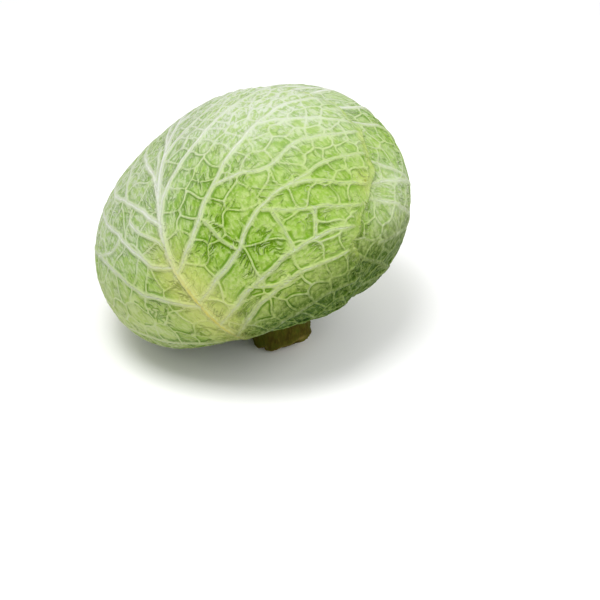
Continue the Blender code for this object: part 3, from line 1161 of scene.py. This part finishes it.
# %% Masks of the veins
def vein_masks(graph, m):
    ramp = graph.ramp
    m.rib_gap = m.rib_gap + (m.wrinkles - 0.5) * 0.7
    m.rib = ramp(m.rib_gap, 0.16, m.rib_width * -0.8) * ramp(m.rib_width, 0.20, 0.95, 0.75, 1.0)
    m.halo = ramp(m.rib_gap, m.rib_width * 2.4 + 0.6, m.rib_width * -0.5)
    m.wall = ramp(m.gap, 0.85, 0.05) * ramp(m.strength, 0.15, 0.95, 0.06, 1.0)
    m.wall = m.wall * ramp(m.rib_gap, 0.2, 1.5, 0.2, 1.0)
    m.bloom = m.bloom * ramp(m.broad, 0.25, 0.60, 0.7, 1.1)
    m.outer = ramp(m.along, 45.0, 85.0)
    m.fading = ramp(m.along, 78.0, 112.0).largest(ramp(m.rest.part("X"), 66.0, 86.0))
    m.near_stalk = ramp(m.along, 28.0, 5.0) * ramp(m.to_stem, -0.40, 0.10)
    from_middle = m.rib_gap + m.rib_width
    at_stalk = ramp(m.rib_width, 1.2, 1.6) * ramp(m.to_stem, -0.30, 0.12)
    # The groove beside the stalk is painted shade.
    m.groove = graph.band(from_middle, 1.3, 1.9, 2.3, 3.4) * at_stalk
    m.stalk = ramp(from_middle, 1.6, 0.6) * at_stalk


# %% Masks of the blade
def blade_masks(graph, m):
    ramp, band = graph.ramp, graph.band
    m.flank = ramp(m.gap, 1.5, 0.3)
    light = 0.46 * m.flank + 0.30 * ramp(m.wrinkles, 0.42, 0.70) + 0.22 * (1 - m.patches)
    light = light + 0.22 * ramp(m.grown, 0.40, 0.62) + 0.34 * ramp(m.crinkle, 0.46, 0.60)
    m.light = light + 0.12 * m.outer + 0.14 * ramp(m.to_stem, -0.15, 0.20)
    vivid = (1 - 0.4 * m.bloom) * (0.35 + 0.65 * m.patches).largest(0.8 * m.fading)
    vivid = vivid * (1 - 0.45 * m.outer) * (1 - 0.8 * m.near_stalk)
    # Painted shade: a dark band at the foot of the walls, in the hollows of the crinkles, and random
    # dark specks.
    foot = band(m.gap, 0.5, 1.3, 1.8, 4.2) * ramp(m.others, 0.35, 0.60)
    speck = ramp(m.mottle, 0.52, 0.72) * ramp(m.gap, 0.5, 1.5)
    hollow = ramp(m.crinkle, 0.50, 0.36) * ramp(m.gap, 0.4, 1.3)
    m.shade = (0.34 * foot + 0.26 * speck + 0.55 * hollow) * vivid
    m.seam = band(m.fold, 0.55, 0.75, 0.85, 1.2) * ramp(m.streaks, 0.42, 0.55)
    # Painted shade in the creases: long loops along the folds, and contours that follow the walls.
    fold_shade = band(m.fold, 0.02, 0.16, 0.26, 0.52)
    fold_shade = fold_shade * ramp(m.streaks, 0.44, 0.54) * ramp(m.patches, 0.0, 0.5)
    contour_shade = band(m.gap, 0.6, 0.9, 1.3, 2.0) * ramp(m.streaks, 0.57, 0.50)
    m.crease = fold_shade.largest(contour_shade * ramp(m.others, 0.36, 0.45))
    m.crease = m.crease * ramp(m.gap, 0.4, 0.9) * (1 - 0.5 * m.outer)
    bare = ramp(m.grown, 0.58, 0.36) * ramp(m.gap, 0.1, 0.9)
    bare = bare.largest(m.crease * (1 - 0.6 * m.bloom))
    m.bare = bare.largest(0.7 * speck).largest(0.85 * hollow)
    m.worn = ramp(m.edge, 0.05, 0.9) * ramp(m.broad, 0.38, 0.62)
    m.low = 0.24 * ramp(m.to_stem, -0.08, 0.25)
    m.low = m.low * (1 - 0.8 * m.rib.largest(m.wall).largest(m.crease))


# %% The leaf material
def leaf_colour(graph, m, deep, mid, pale, vein, rib_colour):
    """The blade's greens, and over them painted shade in the folds and creases, the veins, the bloom
    with its painted sheen, the margin and the stalk; then painted olive shade on the low side.
    """
    ramp = graph.ramp
    thick = ramp(m.rib_width, 0.35, 1.0)
    apart = graph.node("ShaderNodeVectorMath", {"operation": "DISTANCE"}, {0: m.rest, 1: SCAR})
    from_scar = apart.out("Value")
    layers = (
        (m.shade, deep),
        (0.45 * m.seam * m.patches, vein),
        (0.95 * m.crease * (1 - 0.85 * m.bloom) * (1 - 0.8 * m.near_stalk), deep),
        (m.halo * (0.24 + 0.36 * thick) * (1 - 0.5 * m.fading), vein),
        (0.60 * m.wall * (1 - 0.8 * m.bloom) * (1 - 0.4 * m.fading), vein),
        (0.84 * m.rib * (1 - 0.55 * m.fading), rib_colour),
        # The bloom layers: real waxy bloom with a painted sheen over it.
        (m.bloom * (1.0 - 0.68 * m.bare), BLOOM_AND_SHEEN_COLOUR),
        (0.7 * m.rib * ramp(m.bloom, 0.1, 0.7) * (1 - 0.6 * m.fading), WAXY_RIB_SHEEN),
        (0.40 * m.worn * (1 - 0.7 * m.rib), MARGIN_COLOUR),
        (0.5 - 0.5 * ramp(from_scar, 2.0, 11.0), MARGIN_COLOUR),
        (0.8 - 0.8 * ramp(from_scar, 0.4, 1.6), SCAR_BROWN),
        (m.low.largest(0.62 * m.near_stalk * (1 - 0.4 * m.rib)), BASE_YELLOW),
        (0.35 * m.groove, STALK_GROOVE_SHADE),
        (0.85 * m.stalk, STALK_YELLOW),
    )
    colour = layered(graph, mix(graph, m.light, mid, pale), layers)
    # Painted shade: the low side and the underside round the stem are multiplied towards a dark
    # olive.
    olive_shade = ramp(m.to_dark + (m.wrinkles - 0.5) * 0.16, 0.38, 0.66)
    olive_shade = olive_shade.largest(0.5 * ramp(m.to_stem, 0.25, 0.70))
    olive_shade = olive_shade * (1 - 0.20 * ramp(m.crinkle, 0.42, 0.62)) * (1 - 0.16 * m.flank)
    return colour * mix(graph, olive_shade, PLAIN, OLIVE_SHADE_TINT)


def leaf_material(name, colours):
    material, graph, shader = new_material(name)
    m = read_leaf(graph)
    vein_masks(graph, m)
    blade_masks(graph, m)
    grain = 0.3 * m.wall + 0.3 * m.seam - 0.6 * m.crease + 0.4 * m.wrinkles
    grain = grain + 0.2 * m.mottle + 0.3 * m.grown + 0.5 * m.crinkle
    height = grain * (1 - 0.85 * m.rib) * (1 - 0.75 * m.bloom)
    finish = {
        "Base Color": leaf_colour(graph, m, *colours),
        "Roughness": 0.44 + 0.20 * m.wrinkles - 0.04 * m.rib,
        "Normal": bumped(graph, height, 0.8, 0.0010),
        "Specular IOR Level": 0.08,
        "Subsurface Weight": 0.08,
        "Subsurface Radius": (0.5, 1.0, 0.2),
        "Subsurface Scale": 0.0015,
    }
    graph.fill(shader, finish)
    print(name, "has", len(graph.tree.nodes), "nodes")
    return material


LEAF_KINDS = ("outer", "wrapper", "inner")
LEAF_COLOURS = (  # a column for each kind of leaf
    ((0.088, 0.200, 0.000), (0.16, 0.29, 0.020), (0.34, 0.42, 0.09)),  # deep green, laid as painted shade in the folds and creases
    ((0.170, 0.303, 0.014), (0.28, 0.43, 0.06), (0.42, 0.50, 0.14)),  # middle green
    ((0.312, 0.408, 0.13), (0.42, 0.54, 0.17), (0.52, 0.58, 0.26)),  # pale green
    ((0.395, 0.437, 0.285), (0.52, 0.60, 0.30), (0.58, 0.61, 0.35)),  # fine veins
    ((0.43, 0.455, 0.37), (0.60, 0.63, 0.40), (0.64, 0.64, 0.42)),  # ribs
)
LEAF_FINISHES = {
    kind: leaf_material(kind + "_leaf_green", colours)
    for kind, colours in zip(LEAF_KINDS, zip(*LEAF_COLOURS))
}

# %% Build every leaf
for index, row in enumerate(LEAVES):
    kind = row[0].split("_")[0]
    leaf = build_leaf(index, LEAF_FINISHES[kind])
    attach(leaf, "root")
    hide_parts(row[0])

# %% [markdown]
# ## The stump
# The cook's knife leaves a short stump: the stem's core, and round it the blunt stubs of the
# stalks of leaves that were pulled off, each a little higher or lower than the last. It is one
# round column whose radius is worked out at each height and turn. Each stub adds a rounded rib
# that stops short where it was cut.

# %% The stump's shape
STUMP_TURNS = 180
STUMP_ROWS = 110
ROW_POWER = 0.55  # below 1, the rows are closer together near the foot
CORE_RADIUS = 0.0148
STUMP_SKIN = 0.0006  # how uneven the core is
STUB_DEPTH = 0.0044
STUB_WIDTH = math.radians(31)
STUB_TOP = 0.034  # above this height the head hides the stubs
CUT_SLANT = 0.0012
CUT_RAGGED = 0.0003
CUT_EDGE = 0.0006  # height over which a stub begins above its cut
CUT_BAND = 0.0010  # height of the paler cut end
GRAIN = ((29, 60, 0.00012), (61, -40, 0.00006))  # ridges round the stump, their twist, their height
STUBS = (  # which way round from the front, and how far above the floor each is cut
    (-58, 0.0012),
    (-14, 0.0),
    (26, 0.0016),
    (66, 0.0004),
    (112, 0.0045),
    (160, 0.0018),
    (212, 0.0032),
    (258, 0.0008),
)
# These colours are darker than the stump's own olive brown: painted shade, as the stump stands under
# the head. CORE_SHADE, the darkest, is painted shade in the gaps between the stubs.
CORE_SHADE = (0.010, 0.010, 0.0015)
SHADED_STUB_OLIVE = (0.066, 0.062, 0.006)
STAIN_GREEN = (0.050, 0.072, 0.005)
STAIN_BROWN = (0.040, 0.026, 0.004)
FIBRE_TAN = (0.11, 0.092, 0.011)
STUB_END = (0.27, 0.21, 0.055)
CUT_FACE = (0.62, 0.60, 0.36)


def stump_surface():
    """Points of the column by row and turn, with masks of the stubs and of their cut ends."""
    foot = float(np.linalg.norm(STEM_FOOT - HEAD_CENTRE))
    turn = np.linspace(0, 2 * math.pi, STUMP_TURNS, endpoint=False)[None, :]
    down = np.linspace(0, 1, STUMP_ROWS)[:, None] ** ROW_POWER
    station = -CORE_LENGTH + (foot + CORE_LENGTH) * down
    height = (foot - station) + 0 * turn
    full = stem_radius(station) + 0 * turn
    radius = np.minimum(full - 0.001, CORE_RADIUS + STUMP_SKIN * np.sin(3 * turn + 1))
    stub_mask, cut_mask = np.zeros_like(radius), np.zeros_like(radius)
    for number, (azimuth, cut) in enumerate(STUBS):
        away = np.angle(np.exp(1j * (turn - math.radians(azimuth)))) / STUB_WIDTH
        round_top = np.sqrt(np.clip(1 - away**2, 0, 1))
        slanted = cut + CUT_SLANT * away + CUT_RAGGED * np.sin(9 * turn + number)
        standing = smoothstep(height, slanted, slanted + CUT_EDGE) * (height < STUB_TOP)
        stub_mask = np.maximum(stub_mask, round_top * standing)
        cut_mask = np.maximum(cut_mask, round_top * bell(height - slanted, CUT_BAND))
        swollen = STUB_DEPTH * round_top * standing * smoothstep(STUB_TOP - height, 0, 0.01)
        radius = np.maximum(radius, CORE_RADIUS + swollen)
    grain = sum(rise * np.sin(count * turn + twist * station) for count, twist, rise in GRAIN)
    radius = np.minimum(radius, full + STUMP_SKIN) + grain
    circle = np.cos(turn)[..., None] * FRONT + np.sin(turn)[..., None] * RIGHT
    points = HEAD_CENTRE + station[..., None] * STEM_DOWN + radius[..., None] * circle
    spare = np.maximum(-points[..., 2:], 0) / -STEM_DOWN[2]
    points = points - STEM_DOWN * spare
    return points, stub_mask, cut_mask


def stump_material():
    material, graph, shader = new_material("stump_olive_brown_shaded")
    place = graph.node("ShaderNodeTexCoord").out("Object") * 1000.0
    stub, cut, face = (attribute(graph, key) for key in ("stub", "cut", "face"))
    stains = graph.noise(place, 5.0, 4.0)
    fibres = graph.noise(place * (1.0, 1.0, 0.22), 0.9, 3.0)
    layers = (
        (graph.ramp(stub, 0.1, 0.7), SHADED_STUB_OLIVE),
        (graph.ramp(stains, 0.40, 0.70) * 0.7, STAIN_GREEN),
        (graph.ramp(stains, 0.55, 0.35) * 0.6, STAIN_BROWN),
        (0.45 * graph.ramp(fibres, 0.45, 0.70), FIBRE_TAN),
        (0.70 * cut, STUB_END),
        (face, CUT_FACE),
    )
    finish = {
        "Base Color": layered(graph, CORE_SHADE, layers),
        "Roughness": 0.72 + 0.2 * fibres,
        "Specular IOR Level": 0.05,
        "Normal": bumped(graph, fibres + stains, 0.6, 0.0006),
    }
    graph.fill(shader, finish)
    return material


def build_stump():
    points, stub_mask, cut_mask = stump_surface()
    rows, turns = points.shape[:2]
    flat = points.reshape(-1, 3)
    ends = [flat[:turns].mean(0), flat[-turns:].mean(0)]
    faces = []
    for row in range(rows - 1):
        for k in range(turns):
            a, b = row * turns + k, row * turns + (k + 1) % turns
            faces.append((a, a + turns, b + turns, b))
    tip, centre = len(flat), len(flat) + 1
    for k in range(turns):
        after = (k + 1) % turns
        faces.append((tip, k, after))
        faces.append((centre, (rows - 1) * turns + after, (rows - 1) * turns + k))
    mesh = new_mesh("stump", np.vstack([flat, *ends]).tolist(), [], faces)
    keep(mesh, "stub", [*stub_mask.ravel(), 0.0, 0.0])
    keep(mesh, "cut", [*cut_mask.ravel(), 0.0, 0.0])
    keep(mesh, "face", [0.0] * centre + [1.0])
    mesh.materials.append(stump_material())
    mesh.shade_smooth()
    stump = put_in_scene("stump", mesh)
    across = 1000 * float(np.ptp(points[-1, :, 0]))
    print("stump:", len(faces), "faces,", round(across), "mm across its foot")
    return stump


stump = build_stump()
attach(stump, "root")
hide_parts("stem")

# %% [markdown]
# ## The heart
# Nothing of the heart shows while the head is whole, so it stays the frame's own smooth ball. It
# gets the pale yellow of leaves that have grown without light.

# %% The heart's finish
HEART_YELLOW = (0.58, 0.58, 0.22)
HEART_PALE = (0.70, 0.68, 0.38)


def heart_material():
    material, graph, shader = new_material("heart_pale_yellow")
    place = graph.node("ShaderNodeTexCoord").out("Object") * 1000.0
    folds = graph.noise(place * (1.0, 1.0, 0.35), 7.0, 3.0)
    colour = mix(graph, graph.ramp(folds, 0.40, 0.62), HEART_YELLOW, HEART_PALE)
    graph.fill(shader, {"Base Color": colour, "Roughness": 0.55})
    return material


heart = nodes["heart"]
heart.data.materials.clear()
heart.data.materials.append(heart_material())
print("heart:", [round(1000 * float(side)) for side in heart.dimensions], "mm")

# %% [markdown]
# ## The floor, the light and the camera
# The head stands on a plain white floor. Even light comes from all round, as it does between
# white walls. A soft lamp above gives the shape its shading, and a wider, weaker one on the right
# keeps that side open. The camera looks down from in front.

# %% Floor
FLOOR_REACH = 4.0
FLOOR_CORNERS = ((-1, -1), (1, -1), (1, 1), (-1, 1))
FLOOR_WHITE = (0.86, 0.86, 0.86, 1.0)
places = [(FLOOR_REACH * x, FLOOR_REACH * y, 0) for x, y in FLOOR_CORNERS]
floor_mesh = new_mesh("floor", places, [], [(0, 1, 2, 3)])
floor_finish, graph, shader = new_material("floor_white")
graph.fill(shader, {"Base Color": FLOOR_WHITE, "Roughness": 0.6})
floor_mesh.materials.append(floor_finish)
floor = put_in_scene("floor", floor_mesh)
print("floor:", 2 * FLOOR_REACH, "m wide")

# %% Light
AROUND = 0.78  # strength of the even light
LAMPS = (  # name, place, size in metres, power in watts
    ("key", (-0.20, -0.40, 1.20), 0.55, 12),
    ("fill", (1.00, -0.50, 0.95), 0.9, 8),
)
world = bpy.data.worlds.new("studio")
bpy.context.scene.world = world
world.use_nodes = True
background = world.node_tree.nodes["Background"]
Graph(world.node_tree).fill(background, {"Color": (1.0, 1.0, 1.0, 1.0), "Strength": AROUND})
for name, place, size, power in LAMPS:
    light = bpy.data.lights.new(name, "AREA")
    light.size = size
    light.energy = power
    lamp = put_in_scene(name, light)
    lamp.location = place
    way = Vector(HEAD_CENTRE - np.array(place))
    lamp.rotation_euler = way.to_track_quat("-Z", "Y").to_euler()
    print(name, "lamp is", round(way.length, 2), "m from the head")
bpy.context.scene.view_settings.view_transform = "Standard"

# %% Camera
LENS = 85.0
VIEW_PITCH = math.radians(30)
CAMERA_PLACE = (0.0293, -0.7726, 0.4652)
camera = put_in_scene("camera", bpy.data.cameras.new("camera"))
camera.data.lens = LENS
camera.location = CAMERA_PLACE
camera.rotation_euler = (math.pi / 2 - VIEW_PITCH, 0.0, 0.0)
bpy.context.scene.camera = camera
print("camera:", LENS, "mm lens, looking down", round(math.degrees(VIEW_PITCH)), "degrees")
